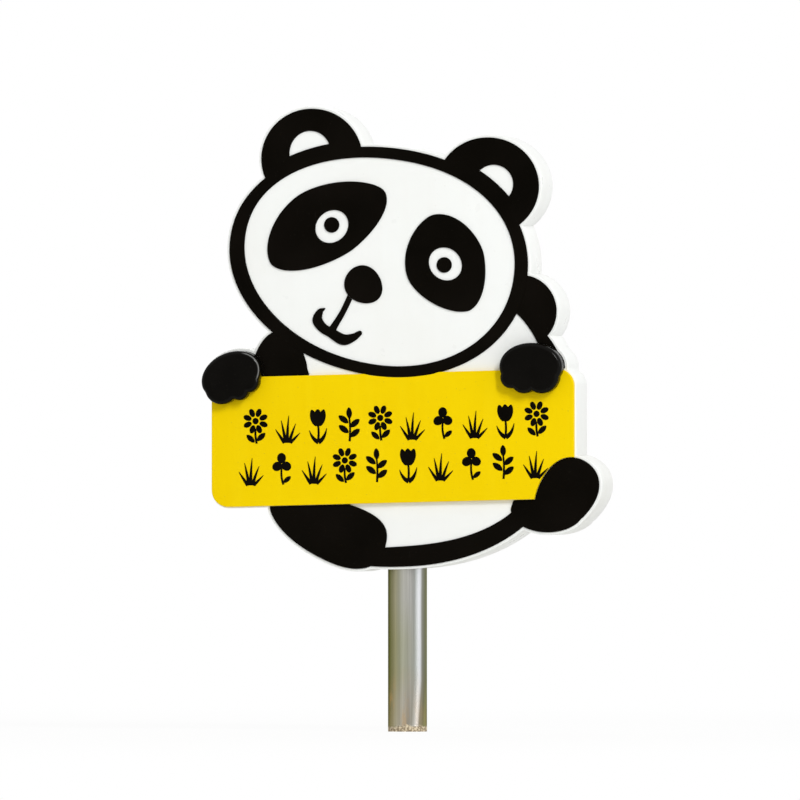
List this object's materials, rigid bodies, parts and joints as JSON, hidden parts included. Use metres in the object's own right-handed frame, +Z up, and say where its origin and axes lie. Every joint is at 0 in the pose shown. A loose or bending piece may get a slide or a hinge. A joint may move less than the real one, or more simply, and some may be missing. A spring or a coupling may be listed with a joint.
{
  "type": "lawn sign",
  "caption": "Lawn sign on a round steel post: a black and white cartoon bear built up from sheet on a shallow white box, holding a blank yellow message panel.",
  "frame": {"origin": "on the post's axis at the ground line", "axes": "+Z up along the post, -Y out of the sign's front, +X to the viewer's right"},
  "size_m": [0.3992, 0.0715, 0.8093],
  "materials": {
    "white_paint": "smooth white paint",
    "black_sheet": "satin black sheet",
    "gloss_black": "high gloss black",
    "yellow_sheet": "satin yellow sheet",
    "brushed_steel": "drawn stainless tube",
    "bright_steel": "bright stainless fasteners",
    "zinc_steel": "zinc plated",
    "grey_nylon": "moulded nylon"
  },
  "bodies": {
    "root": {"post": "brushed_steel", "face_plate": "white_paint", "side_band": "white_paint", "back_panel": "white_paint", "head_outline": "black_sheet", "left_eye_patch": "black_sheet", "right_eye_patch": "black_sheet", "left_pupil": "black_sheet", "right_pupil": "black_sheet", "nose": "black_sheet", "mouth": "black_sheet", "left_arm": "black_sheet", "right_arm": "black_sheet", "legs": "black_sheet", "message_panel": "yellow_sheet", "left_paw": "gloss_black", "right_paw": "gloss_black", "left_paw_packer": "black_sheet", "right_paw_packer": "black_sheet", "spacer_left_ear": "grey_nylon", "spacer_right_ear": "grey_nylon", "spacer_foot": "grey_nylon", "spacer_leg": "grey_nylon", "spacer_belly": "grey_nylon", "spacer_head_left": "grey_nylon", "spacer_head_right": "grey_nylon", "spacer_top_left": "grey_nylon", "spacer_bottom_left": "grey_nylon", "spacer_top_right": "grey_nylon", "screw_left_ear": "bright_steel", "screw_right_ear": "bright_steel", "screw_foot": "bright_steel", "screw_leg": "bright_steel", "screw_belly": "bright_steel", "screw_head_left": "bright_steel", "screw_head_right": "bright_steel", "screw_top_left": "bright_steel", "screw_bottom_left": "bright_steel", "screw_top_right": "bright_steel", "backing_plate": "zinc_steel", "saddle_lower": "zinc_steel", "saddle_upper": "zinc_steel", "bolt_lower_left": "bright_steel", "bolt_lower_right": "bright_steel", "bolt_upper_left": "bright_steel", "bolt_upper_right": "bright_steel", "nut_lower_left": "bright_steel", "nut_lower_right": "bright_steel", "nut_upper_left": "bright_steel", "nut_upper_right": "bright_steel"}
  },
  "joints": []
}
